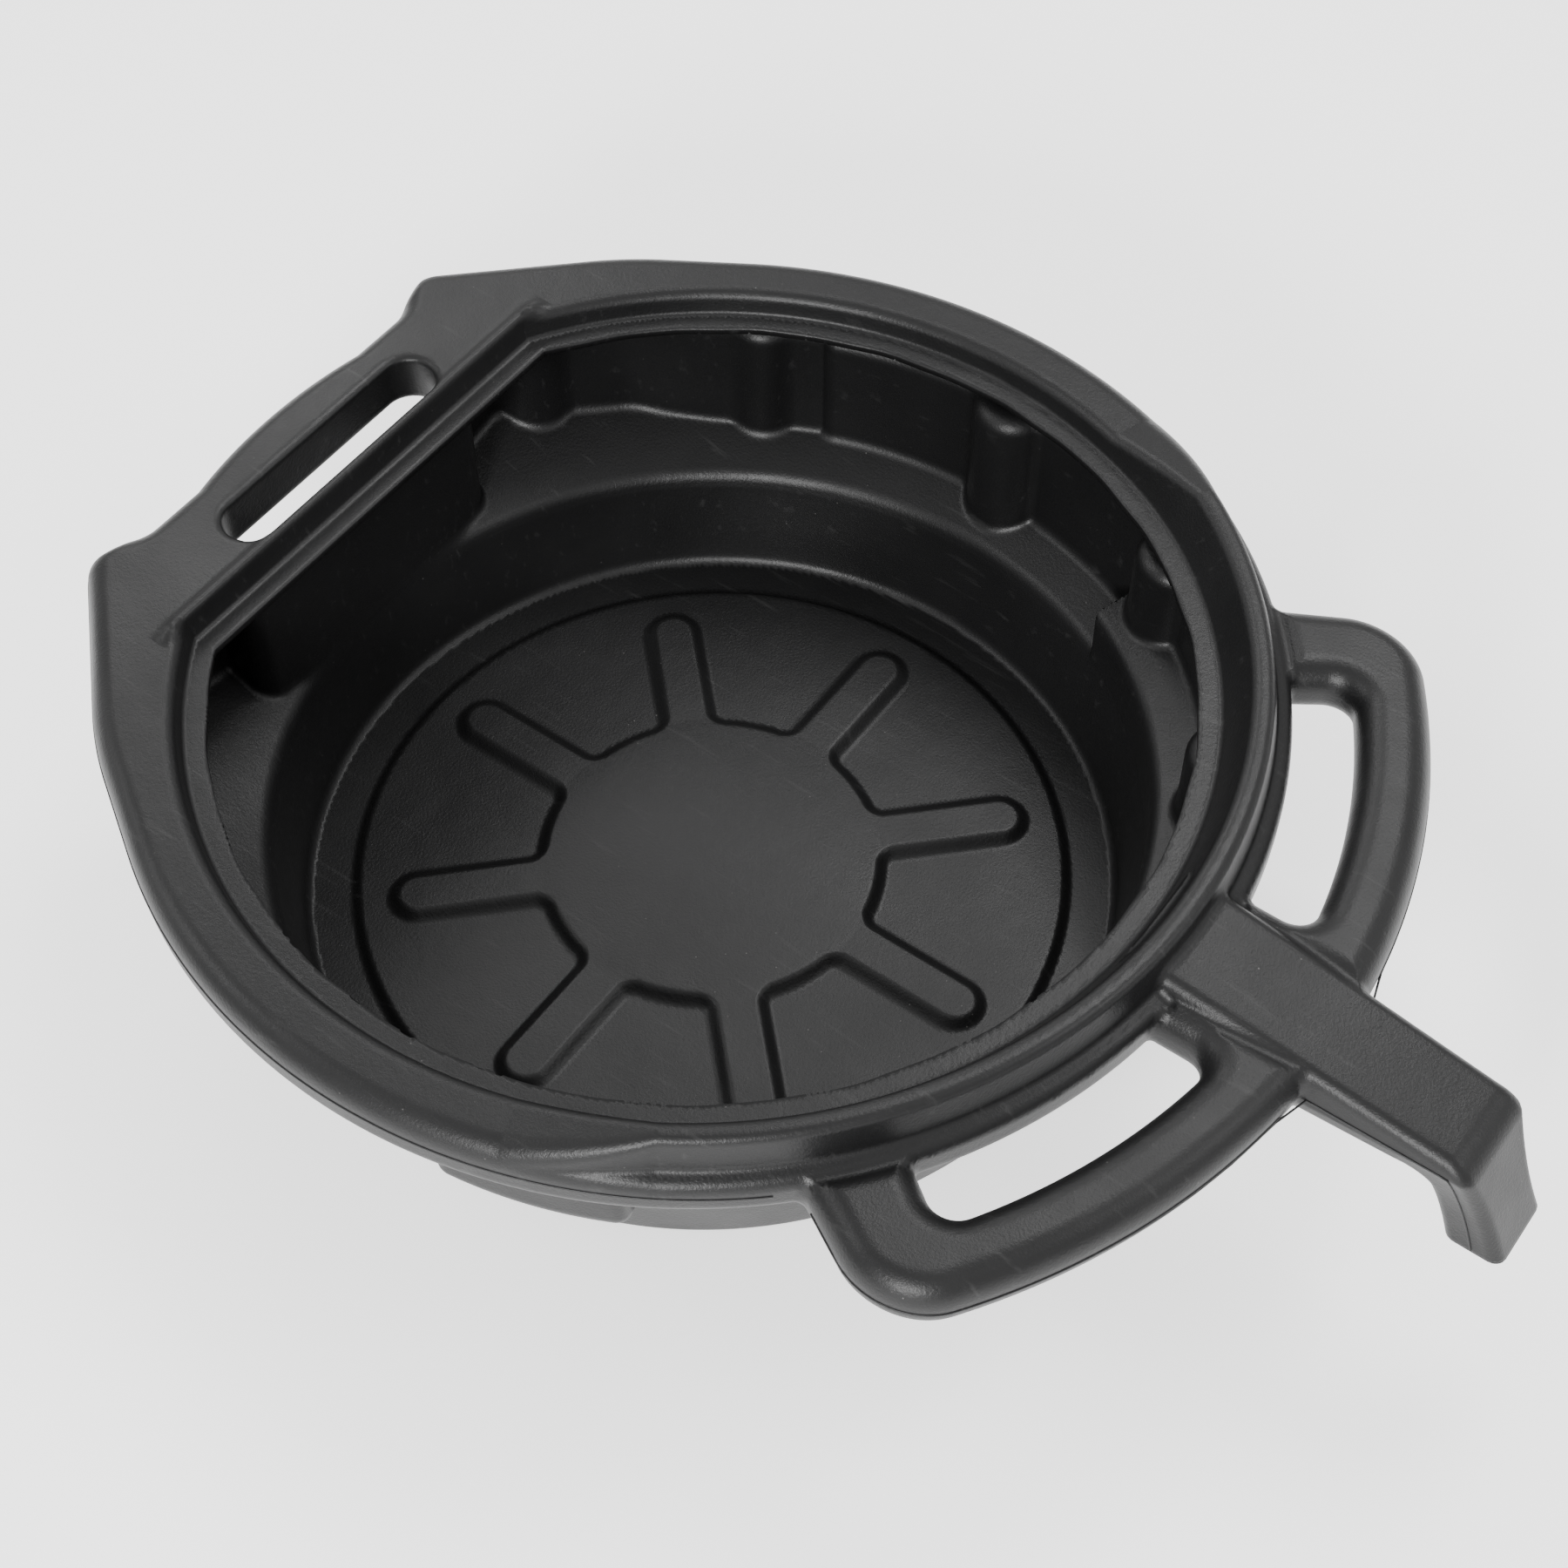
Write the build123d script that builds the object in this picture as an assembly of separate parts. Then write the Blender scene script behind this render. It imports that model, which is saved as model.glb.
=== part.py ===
from build123d import *

import os
from math import acos, atan2, cos, degrees, hypot, radians, sin

# Oil drain pan: one blow-moulded shell, written as its moulded sections.
# Millimetres, +Z up, the ground at Z 0, the spout on +X, the XZ plane its plane of symmetry.

# ---- shell ----
wall = 3.0
lip_top = 125.0                      # height of the cut lip above the ground
seam_height = 118.0                  # pinch seam of handles, grip and spout root

# ---- basin ----
floor_drop = 3.2                     # raised disc above the foot
disc_radius = 143.0
foot_radius = 158.0
foot_rise = 8.0
lower_wall_foot = 163.5
lower_wall_top = 170.0
rib_height = 3.8
hub_radius = 68.5
spoke_tip_radius = 128.0
spoke_width = 21.0
spoke_count = 8

rear_shoulder_height = 48.0
rear_shoulder_rise = 10.0
front_shoulder_height = 71.0
front_shoulder_rise = 7.0
front_half_angle = 61.0
bay_radius = 191.0
rear_wall_x = -167.5
flute_radius = 17.0
flutes = (                           # angle and radius of each flute's centre
    (28, 196.0),
    (57, 196.0),
    (87, 196.0),
    (120, 206.0),
    (147, 218.0))

# ---- rim ----
lip_radius = 182.0
lip_chord_x = -154.4
band_radius = 190.5
band_chord_x = -163.5
rim_radius = 216.5
rim_top = 135.0
rim_bottom = 115.0                   # hollow rim's floor, inside
rim_bottom_bend = 6.0
crest_top = 145.0
ramp_start_angle = 71.0
ramp_end_angle = 57.0
rim_corners = (                      # the skin's (radius, height) on the low bead, then on the crest
    ((band_radius, lip_top - wall), (band_radius, lip_top - wall)),
    ((band_radius, lip_top), (band_radius, lip_top)),
    ((192.5, 132.0), (197.0, 139.0)),
    ((197.0, rim_top), (200.5, crest_top)),
    ((208.0, rim_top), (205.5, crest_top)),
    ((212.5, 133.0), (208.0, 142.0)),
    ((215.5, 129.0), (210.5, 130.5)),
    ((rim_radius, 125.0), (rim_radius, 126.0)),
    ((rim_radius, 122.0), (rim_radius, 122.0)),
    ((rim_radius - wall, 122.0), (rim_radius - wall, 122.0)),
    ((rim_radius - wall, 125.0), (rim_radius - wall, 124.5)),
    ((210.5, 130.5), (208.0, 127.8)),
    ((207.0, 132.0), (205.2, 140.5)),
    ((198.5, 132.0), (202.5, 142.0)),
    ((195.3, 130.5), (199.8, 138.0)),
    ((band_radius + wall, lip_top - wall), (band_radius + wall, lip_top - wall)))
outer_crest_corners = slice(4, 9)    # the crest's side that faces away from the basin

# ---- rear deck and grip ----
deck_corner_x = -219.0
deck_corner_y = 97.5
deck_corner_radius = 15.0
deck_bulge_x = -158.0
deck_bulge_y = 156.0
pocket_bulge = (-146.0, 140.0)
pocket_corner = (-188.0, 98.0)
pocket_start_y = 68.0
deck_split_x = -140.0
grip_outer_x = -211.0
grip_half_length = 74.0
notch_length = 12.0
notch_radius = 16.0
slot_inner_x = -170.5
slot_outer_x = -193.0
slot_half_length = 56.5

# ---- hand loops ----
loop_outer_radius = 266.5
loop_inner_radius = 239.5
loop_root_radius = 207.0
loop_height = 24.0
loop_root_angle = 44.2
slot_end_angle = 34.6
slot_end_y = 31.5

# ---- spout ----
spout_root_x = 194.0
spout_bend_x = 318.0
spout_top_root = 139.0
spout_top_bend = 121.0
spout_bottom = 105.5
spout_half_widths = (                # at its top, seam and bottom
    (23.5, 26.5, 22.5),              # root
    (18.0, 21.0, 17.0),              # bend
    (14.0, 16.0, 13.0))              # end of the nozzle
nozzle_end_height = 73.0
nozzle_inner_x = (311.0, 323.5)
nozzle_outer_x = (325.0, 346.0)

big = 700.0


def ring_point(radius, angle):
    """Point on a circle about the bowl centre."""
    return (radius * cos(radians(angle)), radius * sin(radians(angle)))


def disc(radius, chord_x=None):
    """Round plan area, cut straight on the rear side when chord_x is given."""
    area = Sketch() + Circle(radius)
    if chord_x is not None:
        area = area - Pos(chord_x - big / 2, 0) * Rectangle(big, big)
    return area


def prism(area, bottom, top):
    """Upright solid standing on a plan area."""
    return extrude(Pos(0, 0, bottom) * area, top - bottom)


def turned(points, angle=360.0, start=0.0):
    """Solid of revolution from (radius, height) corners."""
    face = make_face(Polyline(*[(r, 0, z) for r, z in points], close=True))
    return Rot(0, 0, start) * revolve(face, Axis.Z, revolution_arc=angle)


def sector(half_angle, radius=big / 2):
    """Plan wedge round the +X axis."""
    corners = [(0, 0)]
    corners += [ring_point(radius / cos(radians(half_angle / 2)), a) for a in (-half_angle, 0, half_angle)]
    return make_face(Polyline(*corners, close=True))


def front_block(half_angle):
    """Everything on the spout side within half_angle of the +X axis."""
    return prism(sector(half_angle), -10, 200)


# ---- plan outlines ----
def rounded(area, corners, radius):
    """Round the named corners of a plan area."""
    chosen = [v for v in area.vertices() if any(abs(v.X - x) + abs(v.Y - y) < 0.5 for x, y in corners)]
    return fillet(chosen, radius)


def mirrored(points):
    """The same points on the other side of the XZ plane."""
    return [(x, -y) for x, y in points]


def moved_in(points, inset):
    """Corners of a closed anticlockwise outline after every side has moved inward by inset."""
    result = []
    for index, (x, y) in enumerate(points):
        before = points[index - 1]
        after = points[(index + 1) % len(points)]
        into = atan2(y - before[1], x - before[0])
        out = atan2(after[1] - y, after[0] - x)
        bisector = (into + out) / 2
        reach = inset / cos((out - into) / 2)
        result.append((x - reach * sin(bisector), y + reach * cos(bisector)))
    return result


def rim_outline(inset=0.0):
    """Outside edge of the rim with the two rear deck corners and the grip between them."""
    bulge_angle = degrees(atan2(deck_bulge_y, deck_bulge_x))
    tangent = degrees(acos(rim_radius / hypot(deck_bulge_x, deck_bulge_y)))
    half = [
        ring_point(rim_radius, bulge_angle - tangent),
        (deck_bulge_x, deck_bulge_y),
        (deck_corner_x, deck_corner_y),
        (deck_corner_x, grip_half_length + notch_length),
        (grip_outer_x, grip_half_length)]
    corners = half + list(reversed(mirrored(half)))
    inner = moved_in(corners, inset)
    inner[0] = ring_point(rim_radius - inset, bulge_angle - tangent)
    inner[-1] = (inner[0][0], -inner[0][1])
    area = make_face(Polyline(*inner, close=True))
    radii = [160 - inset, deck_corner_radius - inset, notch_radius - inset, notch_radius + inset]
    for corner, radius in zip(inner[1:5], radii):
        area = rounded(area, [corner, (corner[0], -corner[1])], radius)
    return Sketch() + area + Circle(rim_radius - inset)


def bay_outline(growth=0.0):
    """Inside edge of the fluted upper wall, with a pocket behind each end of the flat rear wall."""
    half = [
        ring_point(bay_radius, 112),
        pocket_bulge,
        pocket_corner,
        (pocket_corner[0], pocket_start_y),
        (rear_wall_x, pocket_start_y)]
    pockets = moved_in(half + list(reversed(mirrored(half))), -growth)
    area = Sketch() + disc(bay_radius + growth, rear_wall_x - growth)
    area += make_face(Polyline(*pockets, close=True))
    for angle, centre in flutes:
        for side in (1, -1):
            area -= Pos(*ring_point(centre, side * angle)) * Circle(flute_radius - growth)
    return area


def grip_slot(growth=0.0):
    """Finger slot through the rear deck."""
    width = slot_inner_x - slot_outer_x + 2 * growth
    length = 2 * (slot_half_length + growth)
    return Pos((slot_inner_x + slot_outer_x) / 2, 0) * RectangleRounded(width, length, width / 2 - 0.5)


# ---- basin ----
def basin_floor():
    """Raised floor disc with its hub and eight spokes pressed up from below."""
    def ribs(growth):
        area = Sketch() + Circle(hub_radius + growth)
        for index in range(spoke_count):
            spoke = Pos(spoke_tip_radius / 2, 0) * SlotOverall(
                spoke_tip_radius + 2 * growth, spoke_width + 2 * growth)
            area += Rot(0, 0, index * 360 / spoke_count) * spoke
        return area
    top = wall + floor_drop
    plate = prism(disc(disc_radius - 1.5), floor_drop, top)
    plate += prism(ribs(0), top, top + rib_height)
    return plate - prism(ribs(-2.2), floor_drop - 1, top + rib_height - wall)


def foot_ring():
    """Ring the pan stands on, turned up into the floor disc and the wall."""
    return turned([
        (disc_radius - 1.5, 0),
        (foot_radius, 0),
        (lower_wall_foot, 2.2),
        (lower_wall_foot + wall, foot_rise),
        (lower_wall_foot, foot_rise),
        (lower_wall_foot - 2, wall + 1.5),
        (foot_radius - 1.5, wall),
        (disc_radius + 1.5, wall),
        (disc_radius + 1.5, wall + floor_drop),
        (disc_radius - 1.5, wall + floor_drop)])


def lower_wall():
    """Tapered wall from the foot to the rear shoulder."""
    return turned([
        (lower_wall_foot, foot_rise),
        (lower_wall_foot + wall, foot_rise),
        (lower_wall_top + wall, rear_shoulder_height - wall),
        (lower_wall_top, rear_shoulder_height - wall)])


def shoulder_slab(height, rise, depth=wall):
    """Sloping shoulder from the lower wall out to the bays."""
    reach = bay_radius + 30
    rise_at_reach = rise * (reach - lower_wall_top) / (bay_radius - lower_wall_top)
    return turned([
        (lower_wall_top, height - depth),
        (reach, height + rise_at_reach - depth),
        (reach, height + rise_at_reach),
        (lower_wall_top, height)])


def rear_shoulder():
    """Shoulder round the rear and the sides."""
    ring = shoulder_slab(rear_shoulder_height, rear_shoulder_rise)
    ring = (ring & prism(bay_outline(wall), 0, 200)) - front_block(front_half_angle)
    sill = (Circle(lower_wall_top + wall) - Circle(lower_wall_top - 5)) & Pos(-170, 0) * Rectangle(20, 130)
    return ring + prism(sill, rear_shoulder_height - wall, rear_shoulder_height)


def front_shoulder():
    """Higher shoulder on the spout side."""
    ring = shoulder_slab(front_shoulder_height, front_shoulder_rise)
    return ring & prism(bay_outline(wall), 0, 200) & front_block(front_half_angle)


def front_wall():
    """Extra height of the lower wall on the spout side, with the two steps that close its ends."""
    bottom = rear_shoulder_height - wall
    top = front_shoulder_height - wall
    ring = turned([
        (lower_wall_top, bottom),
        (lower_wall_top + wall, bottom),
        (lower_wall_top + wall, top),
        (lower_wall_top, top)])
    ring = ring & front_block(front_half_angle)
    full = shoulder_slab(front_shoulder_height - wall, front_shoulder_rise, 60)
    full = full & prism(bay_outline(wall), bottom, 200)
    full = full - shoulder_slab(bottom, rear_shoulder_rise + wall, 60) - turned([
        (0, 0), (lower_wall_top + wall, 0), (lower_wall_top + wall, 200), (0, 200)])
    step = full & (front_block(front_half_angle) - front_block(front_half_angle - 1.0))
    return ring + step


def upper_wall():
    """Fluted wall between the shoulders and the rim, flat across the rear."""
    ring = prism(bay_outline(wall) - bay_outline(), rear_shoulder_height, rim_bottom)
    front_part = front_block(front_half_angle)
    rear = ring - front_part - shoulder_slab(rear_shoulder_height, rear_shoulder_rise, 60)
    front = (ring & front_part) - shoulder_slab(front_shoulder_height, front_shoulder_rise, 60)
    return rear + front


# ---- rim ----
def splash_lip():
    """Flat band whose cut edge overhangs the basin."""
    area = disc(band_radius, band_chord_x) - disc(lip_radius, lip_chord_x)
    return prism(area, lip_top - wall, lip_top)


def plateau(inset):
    """Rounded solid under the rim's upper skin; inset by the wall it is the hollow inside."""
    area = rim_outline(inset) - disc(band_radius + inset, band_chord_x - inset)
    bottom = lip_top - wall - inset
    solid = prism(area, bottom, rim_top - inset)
    top = solid.edges().filter_by_position(Axis.Z, rim_top - inset - 0.01, rim_top - inset + 0.01)
    outer = [e for e in top if hypot((e @ 0.5).X, (e @ 0.5).Y) > band_radius + 5]
    return fillet(outer, 9.0 - inset)


def rim_skin():
    """Upper skin of the rim and rear deck, pierced by the grip slot, without the spout side."""
    skin = plateau(0) - plateau(wall)
    slot_wall = prism(grip_slot(wall), lip_top - wall, rim_top - 0.5) & plateau(0)
    skin = (skin + slot_wall) - prism(grip_slot(), 0, 200)
    return skin - front_block(ramp_start_angle)


def crest_profile(share):
    """Rim skin corners at one angle: share 0 is the low bead, share 1 the raised front crest."""
    return [(a + share * (c - a), b + share * (d - b)) for (a, b), (c, d) in rim_corners]


def crest_section(share, angle):
    """Rim skin cross-section standing at one angle."""
    face = make_face(Polyline(*[(r, 0, z) for r, z in crest_profile(share)], close=True))
    return Rot(0, 0, angle) * face


def front_crest():
    """Raised rim round the spout side, with a straight ramp at each end."""
    crest = turned(crest_profile(1), 2 * ramp_end_angle, -ramp_end_angle)
    middle = (ramp_start_angle + ramp_end_angle) / 2
    for side in (1, -1):
        steps = [(0, ramp_start_angle), (0.5, middle), (1, ramp_end_angle)]
        sections = [crest_section(share, side * angle) for share, angle in steps]
        crest += loft(sections, ruled=True)
    return crest - prism(disc(band_radius), 0, lip_top)


def rim_body():
    """Lower part of the rim as one filled slab with its bottom edge rounded."""
    slab = prism(rim_outline(), rim_bottom - wall, lip_top - wall)
    low = slab.edges().filter_by_position(Axis.Z, rim_bottom - wall - 0.01, rim_bottom - wall + 0.01)
    return fillet(low, rim_bottom_bend)


def rim_under():
    """Lower skin of the rim: outside face below the seam and the floor out from the bays."""
    hollow = prism(rim_outline(wall), rim_bottom, 200)
    skin = rim_body() - hollow - prism(bay_outline(), 0, 200)
    slot_wall = prism(grip_slot(wall), rim_bottom, lip_top - wall)
    skin = (skin + slot_wall) - prism(bay_outline(wall), rim_bottom, 200) - prism(grip_slot(), 0, 200)
    return skin - prism(bay_outline(wall), 0, rim_bottom)


# ---- spout ----
def spout_ring(top, seam, bottom, half_widths):
    """Six-cornered section of the spout through three (x, height) points."""
    sides = list(zip((top, seam, bottom), half_widths))
    left = [(x, w, z) for (x, z), w in sides]
    right = [(x, -w, z) for (x, z), w in reversed(sides)]
    return make_face(Polyline(*left, *right, close=True))


def spout_solid(inset):
    """Straight arm and down-turned nozzle; inset by the wall it is the passage, open at both ends."""
    root_widths, bend_widths, end_widths = [[w - inset for w in widths] for widths in spout_half_widths]
    end = nozzle_end_height - inset / 2
    root = spout_ring(
        (spout_root_x, spout_top_root - inset),
        (spout_root_x, seam_height),
        (spout_root_x, spout_bottom + inset),
        root_widths)
    bend_top = (spout_bend_x + 3 - 0.7 * inset, spout_top_bend - 1.5 * inset)
    bend_bottom = (nozzle_inner_x[0] + 0.7 * inset, spout_bottom + inset)
    bend_seam = tuple((a + b) / 2 for a, b in zip(bend_top, bend_bottom))
    bend = spout_ring(bend_top, bend_seam, bend_bottom, bend_widths)
    tip = spout_ring(
        (nozzle_outer_x[1] - inset, end),
        ((nozzle_inner_x[1] + nozzle_outer_x[1]) / 2, end),
        (nozzle_inner_x[1] + inset, end),
        end_widths)
    return loft([root, bend], ruled=True) + loft([bend, tip], ruled=True)


def spout_shell():
    """Spout walls outside the rim."""
    shell = spout_solid(0) - spout_solid(wall) - prism(disc(bay_radius + wall), 0, lip_top) - rim_body()
    under_crest = [(0, lip_top - wall), (0, crest_top)] + crest_profile(1)[outer_crest_corners]
    return shell - turned(under_crest)


def above_spout_seam():
    """Everything over the seam that runs along the side of the spout and down the nozzle."""
    middle = (nozzle_inner_x[1] + nozzle_outer_x[1]) / 2
    corners = [
        (150, seam_height),
        (spout_bend_x - 1, seam_height - 4),
        (middle, nozzle_end_height),
        (middle, 50),
        (400, 50),
        (400, 200),
        (150, 200)]
    face = make_face(Polyline(*[(x, -60, z) for x, z in corners], close=True))
    return extrude(face, 120, dir=(0, 1, 0))


def beyond_spout_bend():
    """Everything past the mitre where the arm turns down into the nozzle."""
    corners = [
        (nozzle_inner_x[0] - 5.5, spout_bottom - 7),
        (spout_bend_x + 8, spout_top_bend + 5.8),
        (400, 127),
        (400, 50),
        (nozzle_inner_x[0] - 5.5, 50)]
    face = make_face(Polyline(*[(x, -60, z) for x, z in corners], close=True))
    return extrude(face, 120, dir=(0, 1, 0))


# ---- hand loops ----
def loop_area():
    """Plan of the left hand loop: a ring sector with a rounded outer corner and a finger slot."""
    root = ring_point(rim_radius + 3, loop_root_angle)
    away = (root[0] + 22 * 6, root[1] + 12 * 6)
    behind = (root[0] - 22 * 1.5, root[1] - 12 * 1.5)
    wedge = make_face(Polyline((150, 0), (away[0], 0), away, root, behind, (150, 90), close=True))
    area = (wedge & Circle(loop_outer_radius)) - Circle(loop_root_radius)
    corner = max(area.vertices(), key=lambda v: hypot(v.X, v.Y) * (v.Y > 100))
    area = fillet([corner], 26)
    end = ring_point(400, slot_end_angle)
    start = ring_point(100, slot_end_angle)
    slot = make_face(Polyline((100, slot_end_y), (400, slot_end_y), end, start, close=True))
    slot = (slot & Circle(loop_inner_radius)) - Circle(rim_radius)
    slot = fillet(slot.vertices(), 10.5)
    return area - slot


def loop_solid(inset):
    """Rounded hand-loop body; inset by the wall it is the hollow inside."""
    bottom = seam_height - loop_height / 2
    area = offset(loop_area(), -inset, kind=Kind.INTERSECTION) if inset else loop_area()
    solid = prism(area, bottom + inset, bottom + loop_height - inset)
    level = [e for e in solid.edges() if max(abs((e @ 0).Z - (e @ t).Z) for t in (0.5, 1)) < 0.01]
    middles = [(e, e @ 0.5) for e in level]
    free = [e for e, middle in middles if hypot(middle.X, middle.Y) > rim_radius - 0.5 and middle.Y > 5]
    return fillet(free, loop_height / 2 - 1 - inset)


def loop_skins():
    """Upper and lower skin of the left hand loop, between the rim and the spout."""
    shell = loop_solid(0) - loop_solid(wall) - spout_solid(0)
    above = prism(disc(big / 2), seam_height, 200)
    upper = (shell & above) - prism(disc(rim_radius), 0, 200)
    lower = shell - above - rim_body()
    return upper, lower


# ---- the whole pan ----
def split_spout():
    """Upper and lower skin of the spout arm, and front and back skin of the nozzle."""
    shell = spout_shell()
    above = above_spout_seam()
    beyond = beyond_spout_bend()
    upper = shell & above
    lower = shell - above
    return {
        "spout_top": upper - beyond,
        "spout_underside": lower - beyond,
        "nozzle_front": upper & beyond,
        "nozzle_back": lower & beyond,
    }


def pan_sections():
    """Every moulded section of the pan by name."""
    passage = spout_solid(wall)
    loop_top, loop_bottom = loop_skins()
    skin = rim_skin()
    deck = prism(Pos(deck_split_x - big / 2, 0) * Rectangle(big, big), 0, 200)
    under = rim_under() - passage
    return {
        "basin_floor": basin_floor(),
        "foot_ring": foot_ring(),
        "lower_wall": lower_wall(),
        "front_wall": front_wall(),
        "rear_shoulder": rear_shoulder(),
        "front_shoulder": front_shoulder(),
        "upper_wall": upper_wall(),
        "splash_lip": splash_lip(),
        "rim_bead": skin - deck,
        "rear_deck": skin & deck,
        "front_crest": front_crest() - passage,
        "rim_underside": under - deck,
        "grip_underside": under & deck,
        "loop_left_top": loop_top,
        "loop_left_bottom": loop_bottom,
        "loop_right_top": mirror(loop_top, about=Plane.XZ),
        "loop_right_bottom": mirror(loop_bottom, about=Plane.XZ),
        **split_spout(),
    }


def main():
    os.makedirs("parts", exist_ok=True)
    for name, section in pan_sections().items():
        section.label = name
        export_step(section, f"parts/{name}.step")


main()
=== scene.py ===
import math

import bpy
import numpy as np
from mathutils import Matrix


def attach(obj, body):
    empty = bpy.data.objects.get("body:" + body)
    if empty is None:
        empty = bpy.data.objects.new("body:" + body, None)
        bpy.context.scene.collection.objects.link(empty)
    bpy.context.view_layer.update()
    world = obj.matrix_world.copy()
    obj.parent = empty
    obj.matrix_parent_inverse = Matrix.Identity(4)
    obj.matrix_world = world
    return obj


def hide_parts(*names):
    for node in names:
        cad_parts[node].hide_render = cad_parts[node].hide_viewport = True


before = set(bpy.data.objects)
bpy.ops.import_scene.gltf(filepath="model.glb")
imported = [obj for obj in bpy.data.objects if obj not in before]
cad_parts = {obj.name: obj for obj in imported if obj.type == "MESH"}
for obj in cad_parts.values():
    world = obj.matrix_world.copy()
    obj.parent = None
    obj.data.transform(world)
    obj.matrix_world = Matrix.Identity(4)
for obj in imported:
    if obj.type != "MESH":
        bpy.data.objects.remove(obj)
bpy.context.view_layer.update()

import openvdb
from mathutils import Vector

# The pan is one blow-moulded shell. Its outside is written below as a signed distance in millimetres,
# negative inside the moulding, in the CAD's frame: +Z up, +X towards the spout, the XZ plane its middle.
WALL = 3.0
VOXEL = 1.5

# the pinch seam, a bead that stands half out of the surface
SEAM = 118.0
SEAM_RADIUS = 0.45

# basin
FLOOR_DROP = 3.2
DISC_RADIUS = 143.0
FOOT_BEND = 8.0
LOWER_WALL_FOOT = 166.5
LOWER_WALL_SLOPE = 0.176
LOWER_WALL_TOP = 173.0
HUB_RADIUS = 68.5
SPOKE_TIP = 128.0
SPOKE_HALF_WIDTH = 10.0
RIB_HEIGHT = 3.8
HUB_DOME = 1.5
REAR_SHOULDER = 45.0
REAR_SHOULDER_RISE = 0.48
FRONT_SHOULDER = 68.0
FRONT_SHOULDER_RISE = 0.33
FRONT_HALF_ANGLE = 61.0
BAY_RADIUS = 194.0
REAR_WALL_X = -170.5
POCKET_X = -191.0
POCKET_Y = 65.0
FLUTE_RADIUS = 14.0
FLUTE_BEND = 6.0
FLUTES = (    # angle and radius of each flute's centre
    (28, 196.0),
    (57, 196.0),
    (87, 196.0),
    (120, 206.0),
    (147, 218.0))

# rim
LIP_TOP = 125.0
LIP_RADIUS = 182.0
LIP_CHORD_X = -154.4
BAND_RADIUS = 190.5
BAND_CHORD_X = -163.5
RIM_RADIUS = 216.0    # the CAD's 216.5 less the seam bead
RIM_BOTTOM = 112.0
RIM_TOP = 135.0
CREST_RISE = 10.0
RAMP_START = 71.0
RAMP_END = 57.0

# rear deck and grip
DECK_BULGE = (-158.0, 156.0)
DECK_CORNER = (-219.0, 97.5)
GRIP_X = -211.0
GRIP_HALF_LENGTH = 74.0
NOTCH_LENGTH = 12.0
SLOT_X = (-193.0, -170.5)
SLOT_HALF_LENGTH = 56.5

# hand loops
LOOP_OUTER = 266.5
LOOP_INNER = 239.5
LOOP_HALF_HEIGHT = 12.0
LOOP_ROOT_ANGLE = 44.2
LOOP_SLOT_ANGLE = 34.6
LOOP_SLOT_Y = 31.5

# spout
SPOUT_TOP = ((207.0, 136.5), (318.0, 121.0))
SPOUT_BOTTOM = 105.5
NOZZLE_INNER = ((311.0, 105.5), (323.5, 73.0))
NOZZLE_OUTER = ((325.0, 121.0), (346.0, 73.0))
NOZZLE_END = 73.0
NOZZLE_HALF_TAPER = 5.0
SPOUT_HALF_WIDTH = 26.0
SPOUT_HALF_TAPER = 5.2

# how far the solid parts of the bowl reach up into the rim, so that no edge shows where they meet
CAP = RIM_BOTTOM + 6.0


# ---- distance helpers ----
def overlap(a, b, radius=0.0):
    """The space inside both shapes, its edge rounded to radius."""
    edge = np.hypot(np.maximum(a + radius, 0), np.maximum(b + radius, 0))
    return np.minimum(np.maximum(a, b), -radius) + edge


def join(a, b, radius=0.0):
    """The space inside either shape, with a fillet of that radius between them."""
    return -overlap(-a, -b, radius)


def left_of(u, v, start, end):
    """Distance to the left of the line from start to end in the (u, v) plane; negative on its right."""
    length = math.hypot(end[0] - start[0], end[1] - start[1])
    return ((end[0] - start[0]) * (v - start[1]) - (end[1] - start[1]) * (u - start[0])) / length


def bend(u, v, before, corner, after, radius):
    """Distance outside two straight edges, run anticlockwise, whose corner is rounded to radius."""
    first = -left_of(u, v, before, corner)
    second = -left_of(u, v, corner, after)
    turn = math.atan2(after[1] - corner[1], after[0] - corner[0])
    turn -= math.atan2(corner[1] - before[1], corner[0] - before[0])
    cosine = math.cos(turn)
    a = first + radius
    b = second + radius
    arc = np.sqrt(np.maximum(a * a + b * b - 2 * cosine * a * b, 0)) / abs(math.sin(turn)) - radius
    return np.where((a > cosine * b) & (b > cosine * a), arc, np.maximum(first, second))


def step_up(distance, half_width):
    """0 outside and 1 inside an outline, with a soft slope of that half width on its edge."""
    share = np.clip(0.5 - distance / (2 * half_width), 0, 1)
    return share * share * (3 - 2 * share)


def on_ring(radius, angle):
    """Plan point at an angle in degrees from the +X axis."""
    return (radius * math.cos(math.radians(angle)), radius * math.sin(math.radians(angle)))


def stadium(x, y, half_length, radius):
    """Plan distance from a slot with round ends that lies along Y."""
    return np.hypot(x, np.maximum(np.abs(y) - (half_length - radius), 0)) - radius


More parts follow.
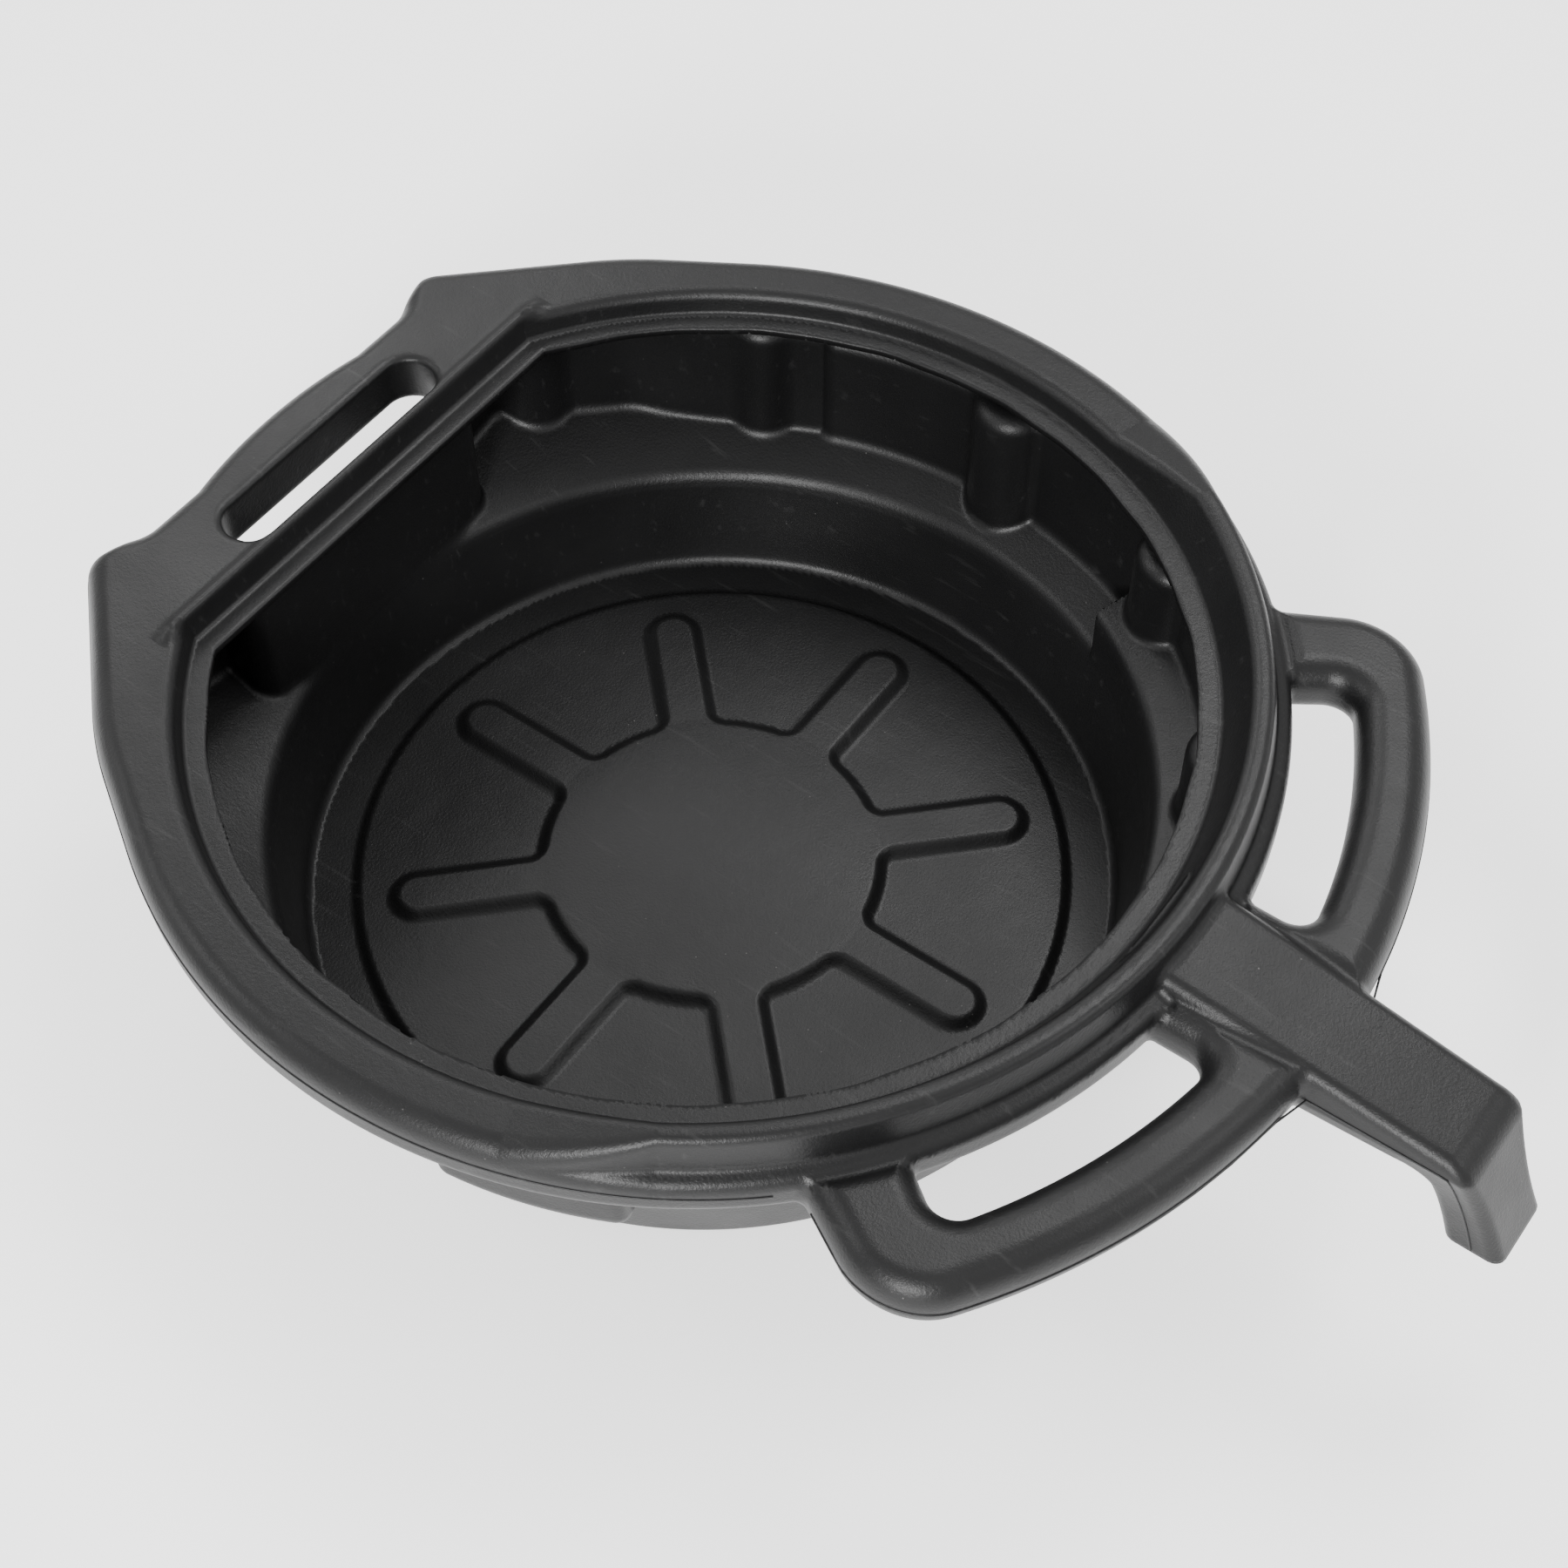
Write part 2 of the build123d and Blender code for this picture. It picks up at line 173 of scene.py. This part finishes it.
# ---- plan outlines ----
def rim_outline(x, y, r):
    """Outside edge of the rim, with the rear deck's corners and its grip between them."""
    bulge_angle = math.degrees(math.atan2(DECK_BULGE[1], DECK_BULGE[0]))
    tangent = math.degrees(math.acos(RIM_RADIUS / math.hypot(*DECK_BULGE)))
    touch = on_ring(RIM_RADIUS, bulge_angle - tangent)
    notch_start = (DECK_CORNER[0], GRIP_HALF_LENGTH + NOTCH_LENGTH)
    deck = bend(x, y, touch, DECK_BULGE, DECK_CORNER, 160)
    deck = np.maximum(deck, bend(x, y, DECK_BULGE, DECK_CORNER, notch_start, 15))
    deck = np.maximum(deck, -left_of(x, y, (0, 0), touch))
    notch = bend(x, y, (GRIP_X, 0), (GRIP_X, GRIP_HALF_LENGTH), notch_start, 16)
    deck = overlap(deck, -notch, 8)
    return np.minimum(r - RIM_RADIUS, deck)


def bay_outline(x, y, r):
    """Outside of the fluted upper wall, flat across the rear with a pocket at each end."""
    bowl = overlap(r - BAY_RADIUS, REAR_WALL_X - x, 6)
    start = on_ring(BAY_RADIUS, 112)
    bulge = (-148.0, 142.5)
    back = (POCKET_X, 99.5)
    pocket = bend(x, y, start, bulge, back, 40)
    pocket = np.maximum(pocket, bend(x, y, bulge, back, (POCKET_X, 0), 12))
    pocket = overlap(pocket, POCKET_Y - y, 6)
    pocket = np.maximum(pocket, -left_of(x, y, (0, 0), start))
    area = join(bowl, pocket, 5)
    for angle, centre in FLUTES:
        out = on_ring(1, angle)
        along = x * out[0] + y * out[1]
        across = y * out[0] - x * out[1]
        flute = np.hypot(np.maximum(centre - along, 0), across) - FLUTE_RADIUS
        area = overlap(area, -flute, FLUTE_BEND)
    return area


# ---- moulded volumes ----
def bowl(x, y, z, r):
    """Floor, foot and lower wall, with the disc, hub and spokes pressed up from below."""
    wall = np.minimum(LOWER_WALL_FOOT + LOWER_WALL_SLOPE * (z - FOOT_BEND), LOWER_WALL_TOP)
    solid = overlap(r - wall, -z, 7.5)
    solid = np.maximum(solid, z - CAP)
    ribs = r - HUB_RADIUS
    for angle in (0, 45, 90, 135, 180):
        out = on_ring(1, angle)
        along = x * out[0] + y * out[1]
        across = y * out[0] - x * out[1]
        beyond = np.hypot(np.maximum(along - SPOKE_TIP + SPOKE_HALF_WIDTH, 0), across)
        ribs = join(ribs, np.maximum(beyond - SPOKE_HALF_WIDTH, -along), 5)
    pressed = FLOOR_DROP * step_up(r - DISC_RADIUS, 2.6) + RIB_HEIGHT * step_up(ribs, 3.2)
    pressed = pressed + HUB_DOME * np.clip(1 - (r / HUB_RADIUS) ** 2, 0, 1)
    return overlap(solid, (pressed - z) * 0.85, 0)


def bays(x, y, z, r):
    """Wide upper part of the basin, with its ledge higher across the front."""
    area = bay_outline(x, y, r)
    reach = np.maximum(r - 170, 0)
    rear_floor = (REAR_SHOULDER + REAR_SHOULDER_RISE * reach - z) * 0.9
    front_floor = (FRONT_SHOULDER + FRONT_SHOULDER_RISE * reach - z) * 0.95
    behind = -left_of(x, y, (0, 0), on_ring(1, FRONT_HALF_ANGLE))
    rear = overlap(overlap(area, rear_floor, 6), behind, 3)
    front = overlap(area, front_floor, 6)
    return np.maximum(np.minimum(rear, front), z - CAP)


def rim(x, y, z, r):
    """Hollow rim: low bead, rear deck, and the raised crest round the spout side."""
    outline = rim_outline(x, y, r)
    lower = np.maximum(overlap(outline, RIM_BOTTOM - z, 6.5), z - LIP_TOP)
    angle = np.degrees(np.arctan2(y, x))
    share = np.clip((RAMP_START - angle) / (RAMP_START - RAMP_END), 0, 1)
    band = np.maximum(r - BAND_RADIUS, BAND_CHORD_X - x)
    inner = (0.22 + 0.25 * share) * (z - LIP_TOP) - band
    inner = inner / np.hypot(1, 0.22 + 0.25 * share)
    ridge_height = 3.0 * np.exp(-((BAND_CHORD_X - x - 2.5) / 3.5) ** 2) * np.clip((112 - y) / 8, 0, 1)
    top = z - RIM_TOP - CREST_RISE * share - ridge_height * (x < -150)
    outer = outline + 6 * share + 0.18 * share * (z - LIP_TOP - 4)
    ridge = overlap(overlap(outer, top, 9.5 - 6.5 * share), inner, 4 - 1.5 * share)
    bead = overlap(outline, z - RIM_TOP + 5 * share, 9.5 - 3.5 * share)
    bead = np.maximum(bead, 12 - band)
    upper = np.maximum(join(ridge, bead, 2 * share), LIP_TOP - 6 - z)
    solid = join(lower, upper, 1.5 * np.clip(1 - np.abs(band) / 10, 0, 1))
    middle = (SLOT_X[0] + SLOT_X[1]) / 2
    slot = stadium(x - middle, y, SLOT_HALF_LENGTH, (SLOT_X[1] - SLOT_X[0]) / 2)
    return overlap(solid, -slot, 3.5)


def loops(x, y, z, r):
    """Hand loop beside the spout, a rounded bar round its finger slot."""
    root = on_ring(RIM_RADIUS + 3, LOOP_ROOT_ANGLE)
    side = left_of(x, y, root, (root[0] + 22, root[1] + 12))
    area = overlap(r - LOOP_OUTER, side, 26)
    slot = overlap(r - LOOP_INNER, left_of(x, y, (0, 0), on_ring(1, LOOP_SLOT_ANGLE)), 10.5)
    slot = overlap(slot, LOOP_SLOT_Y - y, 10.5)
    area = np.maximum(np.maximum(area, -slot), np.maximum(212 - r, 17 - y))
    return overlap(area, np.abs(z - SEAM) - LOOP_HALF_HEIGHT, 11)


def spout(x, y, z):
    """Straight arm that turns down into the nozzle, widest along its seam."""
    top = left_of(x, z, *SPOUT_TOP)
    outer = left_of(x, z, *NOZZLE_OUTER)
    inner = -left_of(x, z, *NOZZLE_INNER)
    profile = overlap(top, outer, 7)
    profile = overlap(profile, join(SPOUT_BOTTOM - z, inner, 6), 2)
    down = np.clip((x - 300) / 20, 0, 1) * np.clip((115 - z) / 42, 0, 1)
    along = np.clip((x - 207) / 110, 0, 1)
    half_width = SPOUT_HALF_WIDTH - SPOUT_HALF_TAPER * along - NOZZLE_HALF_TAPER * down
    side = (y - half_width + 0.2 * np.abs(z - SEAM + 4) * (1 - down)) * 0.98
    return np.maximum(overlap(profile, side, 4.5), 195 - x)


def moulding(x, y, z):
    """Outside of the whole closed moulding, before anything is trimmed off."""
    y = np.abs(y)
    r = np.hypot(x, y)
    solid = join(bowl(x, y, z, r), bays(x, y, z, r), 1.5)
    solid = join(solid, rim(x, y, z, r), 4)
    solid = join(solid, loops(x, y, z, r), 3)
    return join(solid, spout(x, y, z), 3)


def shell(x, y, z):
    """The wall of the closed moulding."""
    solid = moulding(x, y, z)
    return np.maximum(solid, -solid - WALL)


def kept(x, y, z):
    """Negative where the knife leaves the moulding: off the lip's opening and over the nozzle's end."""
    angle = np.arctan2(y, x)
    waver = 0.25 * np.sin(23 * angle + 1) + 0.15 * np.sin(41 * angle)
    lip = np.maximum(np.hypot(x, y) - LIP_RADIUS + waver, LIP_CHORD_X - x)
    opening = np.maximum(lip, LIP_TOP - 7 - z)
    return np.maximum(-opening, np.where(x > 290, NOZZLE_END - z, -50.0))


def pan(x, y, z):
    """Distance from the trimmed shell."""
    return np.maximum(shell(x, y, z), kept(x, y, z))


# ---- from distance to surface ----
def surface():
    """The shell's surface as vertices, quads and vertex normals, in millimetres."""
    start = (-225.0, 0.0, -6.0)
    end = (352.5, 225.0, 151.5)
    axes = [np.arange(start[i], end[i] + 0.1, VOXEL) for i in range(3)]
    x = axes[0][:, None, None].astype(np.float32)
    y = axes[1][None, :, None].astype(np.float32)
    z = axes[2][None, None, :].astype(np.float32)
    half = pan(x, y, z)
    whole = np.concatenate([half[:, :0:-1], half], axis=1)
    whole = np.clip(whole, -2 * WALL, 2 * WALL).astype(np.float32)
    grid = openvdb.FloatGrid(2 * WALL)
    grid.copyFromArray(np.ascontiguousarray(whole))
    points, quads = grid.convertToQuads(0.0)
    corner = np.array([start[0], -axes[1][-1], start[2]])
    points = points.astype(np.float64) * VOXEL + corner
    for _ in range(3):
        points = settle(points, pan)
    wall_gap = np.abs(shell(*points.T))
    cut_gap = np.abs(kept(*points.T))
    edge = (wall_gap < 0.6 * VOXEL) & (cut_gap < 0.6 * VOXEL)
    for _ in range(4):
        points[edge] = settle(settle(points[edge], shell), kept)
    slope = gradient(points, pan)
    normals = slope / np.maximum(np.linalg.norm(slope, axis=1), 1e-6)[:, None]
    a, b, c = (points[quads[:, i]] for i in (0, 1, 2))
    facing = (np.cross(b - a, c - a) * normals[quads[:, 0]]).sum(1)
    if np.median(facing) < 0:
        quads = quads[:, ::-1]
    return points, quads, normals


def gradient(points, distance, reach=0.25):
    """Direction in which a distance grows, at each point."""
    slope = np.empty_like(points)
    for axis in range(3):
        step = np.zeros(3)
        step[axis] = reach
        slope[:, axis] = (distance(*(points + step).T) - distance(*(points - step).T)) / (2 * reach)
    return slope


def settle(points, distance):
    """The points moved up to 0.6 mm towards where a distance is zero."""
    slope = gradient(points, distance)
    step = distance(*points.T)[:, None] * slope / np.maximum((slope ** 2).sum(1), 0.2)[:, None]
    length = np.linalg.norm(step, axis=1)
    return points - step * np.minimum(1, 0.6 / np.maximum(length, 1e-6))[:, None]


def section_of(points):
    """Name of the CAD section that each point belongs to."""
    x, y, z = points[:, 0], points[:, 1], points[:, 2]
    r = np.hypot(x, y)
    angle = np.abs(np.degrees(np.arctan2(y, x)))
    left = y > 0
    nozzle = left_of(x, z, (305.5, 98.5), (326.0, 126.8)) < 0
    over_spout_seam = z > SEAM - 4 * (x - 200) / 117
    over_nozzle_seam = left_of(x, z, (317, 114), (334.7, 73)) > 0
    in_spout = (spout(x, np.abs(y), z) < 1) & (x > RIM_RADIUS * 0.985)
    outside = r > RIM_RADIUS + 0.3
    in_loop = (x > 100) & outside & (angle < 50)
    front = angle < FRONT_HALF_ANGLE
    shoulder = np.where(front, FRONT_SHOULDER, REAR_SHOULDER) + 0.45 * (r - 170) + 6
    rules = [
        (in_spout & nozzle & over_nozzle_seam, "nozzle_front"),
        (in_spout & nozzle, "nozzle_back"),
        (in_spout & over_spout_seam, "spout_top"),
        (in_spout, "spout_underside"),
        (in_loop & left & (z > SEAM), "loop_left_top"),
        (in_loop & left, "loop_left_bottom"),
        (in_loop & (z > SEAM), "loop_right_top"),
        (in_loop, "loop_right_bottom"),
        ((r < BAND_RADIUS) & (x > BAND_CHORD_X) & (z > LIP_TOP - 6), "splash_lip"),
        ((z > LIP_TOP - 4) & (angle < RAMP_START), "front_crest"),
        ((z > LIP_TOP - 4) & (x < -140), "rear_deck"),
        (z > LIP_TOP - 4, "rim_bead"),
        ((z > RIM_BOTTOM - 1) & (x < -140) & (r > LIP_RADIUS), "grip_underside"),
        ((z > RIM_BOTTOM - 1) & (r > LIP_RADIUS), "rim_underside"),
        ((z < 11.5) & (r < DISC_RADIUS + 3), "basin_floor"),
        (z < FOOT_BEND, "foot_ring"),
        ((r < LOWER_WALL_TOP + 1.5) & (z < REAR_SHOULDER), "lower_wall"),
        ((r < LOWER_WALL_TOP + 1.5) & front & (z < FRONT_SHOULDER), "front_wall"),
        (front & (z < shoulder), "front_shoulder"),
        (z < shoulder, "rear_shoulder"),
    ]
    return np.select([rule for rule, _ in rules], [name for _, name in rules], "upper_wall")


# ---- the pinch seam ----
def inward(starts, directions):
    """Where lines that start outside the moulding first meet it."""
    points = np.array(starts, dtype=float)
    for _ in range(80):
        points = points + 0.7 * np.clip(moulding(*points.T), -5, 20)[:, None] * directions
    return points


def outer_seam():
    """Seam round the outside of the rim from one hand loop to the other, lower towards the front."""
    angle = np.radians(np.arange(47.0, 313.01, 0.5))
    out = np.stack([np.cos(angle), np.sin(angle), 0 * angle], axis=1)
    off_back = np.degrees(np.abs(angle - math.pi))
    height = LIP_TOP - 3 * np.clip((off_back - 96) / 40, 0, 1)
    starts = 300 * out + np.stack([0 * angle, 0 * angle, height], axis=1)
    return inward(starts, -out)


def loop_seam():
    """Seam along the outside of the left hand loop."""
    angle = np.radians(np.arange(7.5, 44.01, 0.5))
    out = np.stack([np.cos(angle), np.sin(angle), 0 * angle], axis=1)
    return inward(330 * out + np.array([0, 0, SEAM]), -out)


def spout_seam():
    """Seam down the left side of the spout and its nozzle."""
    root_x = 232.0
    bend_x = 320.0
    arm = [(x, SEAM - 4 * (x - root_x) / (bend_x - root_x)) for x in np.arange(root_x, bend_x, 4.0)]
    nozzle = [(bend_x + 14.7 * share, SEAM - 4 - 40 * share) for share in np.arange(0.0, 1.001, 0.1)]
    starts = [(x, 60.0, z) for x, z in arm + nozzle]
    return inward(starts, np.array([0.0, -1.0, 0.0]))


def seam_bead(name, path, section, material):
    """Fine round bead laid half into the surface along a path of points in millimetres."""
    bead = bpy.data.curves.new(name, "CURVE")
    bead.dimensions = "3D"
    bead.bevel_depth = SEAM_RADIUS / 1000
    bead.bevel_resolution = 2
    spline = bead.splines.new("POLY")
    spline.points.add(len(path) - 1)
    for point, place in zip(spline.points, path / 1000):
        point.co = (*place, 1)
    bead.materials.append(material)
    piece = bpy.data.objects.new(name, bead)
    bpy.context.scene.collection.objects.link(piece)
    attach(piece, "root")
    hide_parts(section)


def add_seams(material):
    """The moulding's pinch seam, mirrored about the XZ plane where it runs on both sides."""
    other_side = np.array([1.0, -1.0, 1.0])
    seam_bead("rim_seam", outer_seam(), "rim_bead", material)
    seam_bead("loop_left_seam", loop_seam(), "loop_left_top", material)
    seam_bead("loop_right_seam", loop_seam() * other_side, "loop_right_top", material)
    seam_bead("spout_left_seam", spout_seam(), "spout_top", material)
    seam_bead("spout_right_seam", spout_seam() * other_side, "spout_top", material)


# ---- the moulded sections ----
def add_sections(material):
    """One object for each moulded section, all cut from the same continuous surface."""
    points, quads, normals = surface()
    names = section_of(points[quads].mean(1))
    for name in sorted(set(names)):
        faces = quads[names == name]
        used, corners = np.unique(faces, return_inverse=True)
        corners = corners.reshape(faces.shape)
        mesh = bpy.data.meshes.new(f"{name}_skin")
        mesh.from_pydata((points[used] / 1000).tolist(), [], corners.tolist())
        mesh.shade_smooth()
        mesh.normals_split_custom_set_from_vertices(normals[used].tolist())
        mesh.materials.append(material)
        piece = bpy.data.objects.new(f"{name}_skin", mesh)
        bpy.context.scene.collection.objects.link(piece)
        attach(piece, "root")
        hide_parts(str(name))


# ---- material ----
def node(tree, kind, inputs=None, **settings):
    """A shader node with its settings, each input set to a value or linked to another node's socket."""
    made = tree.nodes.new(kind)
    for name, value in settings.items():
        setattr(made, name, value)
    for name, value in (inputs or {}).items():
        if isinstance(value, bpy.types.NodeSocket):
            tree.links.new(value, made.inputs[name])
        else:
            made.inputs[name].default_value = value
    return made


def noise(tree, place, scale, detail, roughness=0.5):
    """Noise of a size and depth of detail: its grey value."""
    made = node(tree, "ShaderNodeTexNoise", {
        "Vector": place, "Scale": scale, "Detail": detail, "Roughness": roughness})
    return made.outputs["Fac"]


def ramp(tree, value, start, end, low, high):
    """A value's range from start to end spread over low to high."""
    made = node(tree, "ShaderNodeMapRange", {
        "Value": value, "From Min": start, "From Max": end, "To Min": low, "To Max": high})
    return made.outputs["Result"]


def blend(tree, share, first, second):
    """Mix of a colour or socket with a second colour."""
    made = node(tree, "ShaderNodeMix", data_type="RGBA")
    tree.links.new(share, made.inputs["Factor"])
    if isinstance(first, bpy.types.NodeSocket):
        tree.links.new(first, made.inputs["A"])
    else:
        made.inputs["A"].default_value = first
    made.inputs["B"].default_value = second
    return made.outputs["Result"]


def bump(tree, height, strength, distance, under=None):
    """Bumps of a height texture, laid over the bumps under them."""
    made = node(tree, "ShaderNodeBump", {"Height": height, "Strength": strength, "Distance": distance})
    if under is not None:
        tree.links.new(under, made.inputs["Normal"])
    return made.outputs["Normal"]


def black_polyethylene():
    """Matte black moulded polyethylene with grain, uneven gloss, scuffs and specks of dust."""
    material = bpy.data.materials.new("black_hdpe")
    material.use_nodes = True
    tree = material.node_tree
    tree.nodes.clear()
    place = node(tree, "ShaderNodeTexCoord").outputs["Object"]

    patches = noise(tree, place, 14.0, 4.0, 0.55)
    colour = blend(tree, patches, (0.0045, 0.0045, 0.0047, 1), (0.009, 0.009, 0.0092, 1))

    drawn_out = node(tree, "ShaderNodeMapping", {
        "Vector": place, "Scale": (1.0, 14.0, 6.0), "Rotation": (0, 0, 0.6)}).outputs["Vector"]
    scuffs = ramp(tree, noise(tree, drawn_out, 26.0, 6.0), 0.62, 0.78, 0.0, 0.5)
    colour = blend(tree, scuffs, colour, (0.03, 0.03, 0.03, 1))

    cells = node(tree, "ShaderNodeTexVoronoi", {"Vector": place, "Scale": 170.0, "Randomness": 1.0})
    specks = ramp(tree, cells.outputs["Distance"], 0.03, 0.06, 1.0, 0.0)
    dusty_places = ramp(tree, patches, 0.5, 0.62, 0.0, 0.6)
    dust = node(tree, "ShaderNodeMath", operation="MULTIPLY")
    tree.links.new(specks, dust.inputs[0])
    tree.links.new(dusty_places, dust.inputs[1])
    colour = blend(tree, dust.outputs["Value"], colour, (0.15, 0.145, 0.14, 1))

    roughness = ramp(tree, patches, 0.3, 0.7, 0.34, 0.46)
    ripples = bump(tree, noise(tree, place, 32.0, 2.0), 0.25, 0.002)
    rough_skin = bump(tree, noise(tree, place, 900.0, 3.0, 0.6), 0.35, 0.0004, ripples)
    grain = bump(tree, noise(tree, place, 2200.0, 2.0), 0.3, 0.00015, rough_skin)

    shader = node(tree, "ShaderNodeBsdfPrincipled", {
        "Base Color": colour, "Roughness": roughness, "Normal": grain,
        "IOR": 1.5, "Specular IOR Level": 0.3})
    output = node(tree, "ShaderNodeOutputMaterial")
    tree.links.new(shader.outputs["BSDF"], output.inputs["Surface"])
    return material


# ---- stage, light and camera ----
PAN_MIDDLE = Vector((0, 0, 0.1))
FLOOR_REACH = 6.0
CAMERA_PLACE = (0.39859, -0.49065, 0.90352)
CAMERA_DOWN = 53.28    # degrees below the horizon
CAMERA_TURN = 35.85    # degrees from the +Y axis


def pale_floor():
    """Plain pale floor under the pan."""
    material = bpy.data.materials.new("pale_floor")
    material.use_nodes = True
    shader = material.node_tree.nodes["Principled BSDF"]
    shader.inputs["Base Color"].default_value = (0.97, 0.97, 0.97, 1)
    shader.inputs["Roughness"].default_value = 0.9
    shader.inputs["Emission Color"].default_value = (1, 1, 1, 1)
    shader.inputs["Emission Strength"].default_value = 0.9
    mesh = bpy.data.meshes.new("studio_floor")
    corners = [(-1, -1), (1, -1), (1, 1), (-1, 1)]
    mesh.from_pydata([(FLOOR_REACH * x, FLOOR_REACH * y, 0) for x, y in corners], [], [(0, 1, 2, 3)])
    mesh.materials.append(material)
    floor = bpy.data.objects.new("studio_floor", mesh)
    bpy.context.scene.collection.objects.link(floor)


def softbox(name, place, size, power):
    """Square softbox of that size in metres, pointed at the middle of the pan."""
    light = bpy.data.lights.new(name, "AREA")
    light.size = size
    light.energy = power
    lamp = bpy.data.objects.new(name, light)
    lamp.location = place
    lamp.rotation_euler = (Vector(place) - PAN_MIDDLE).to_track_quat("Z", "Y").to_euler()
    bpy.context.scene.collection.objects.link(lamp)


def studio():
    """White surroundings, softboxes behind and beside the pan and a small bright one in front of it."""
    world = bpy.data.worlds.new("studio")
    world.use_nodes = True
    background = world.node_tree.nodes["Background"]
    background.inputs["Color"].default_value = (1, 1, 1, 1)
    background.inputs["Strength"].default_value = 0.9
    bpy.context.scene.world = world
    softbox("back_softbox", (0.0, 1.15, 2.1), 0.9, 27)
    softbox("left_back_softbox", (-1.4, 0.9, 1.5), 0.7, 10)
    softbox("front_softbox", (0.7, -2.0, 1.2), 0.5, 70)
    softbox("left_softbox", (-1.7, -0.9, 1.7), 0.8, 12)
    softbox("right_softbox", (1.7, 0.7, 1.7), 0.8, 12)


def camera():
    """View from above the right-hand side, at the height and angle of a person leaning over the pan."""
    lens = bpy.data.cameras.new("camera")
    lens.sensor_width = 36
    lens.lens = 62.34
    lens.shift_x = -0.0105
    view = bpy.data.objects.new("camera", lens)
    view.location = CAMERA_PLACE
    view.rotation_euler = (math.radians(90 - CAMERA_DOWN), 0, math.radians(CAMERA_TURN))
    bpy.context.scene.collection.objects.link(view)
    bpy.context.scene.camera = view


def main():
    plastic = black_polyethylene()
    add_sections(plastic)
    add_seams(plastic)
    pale_floor()
    studio()
    camera()


main()
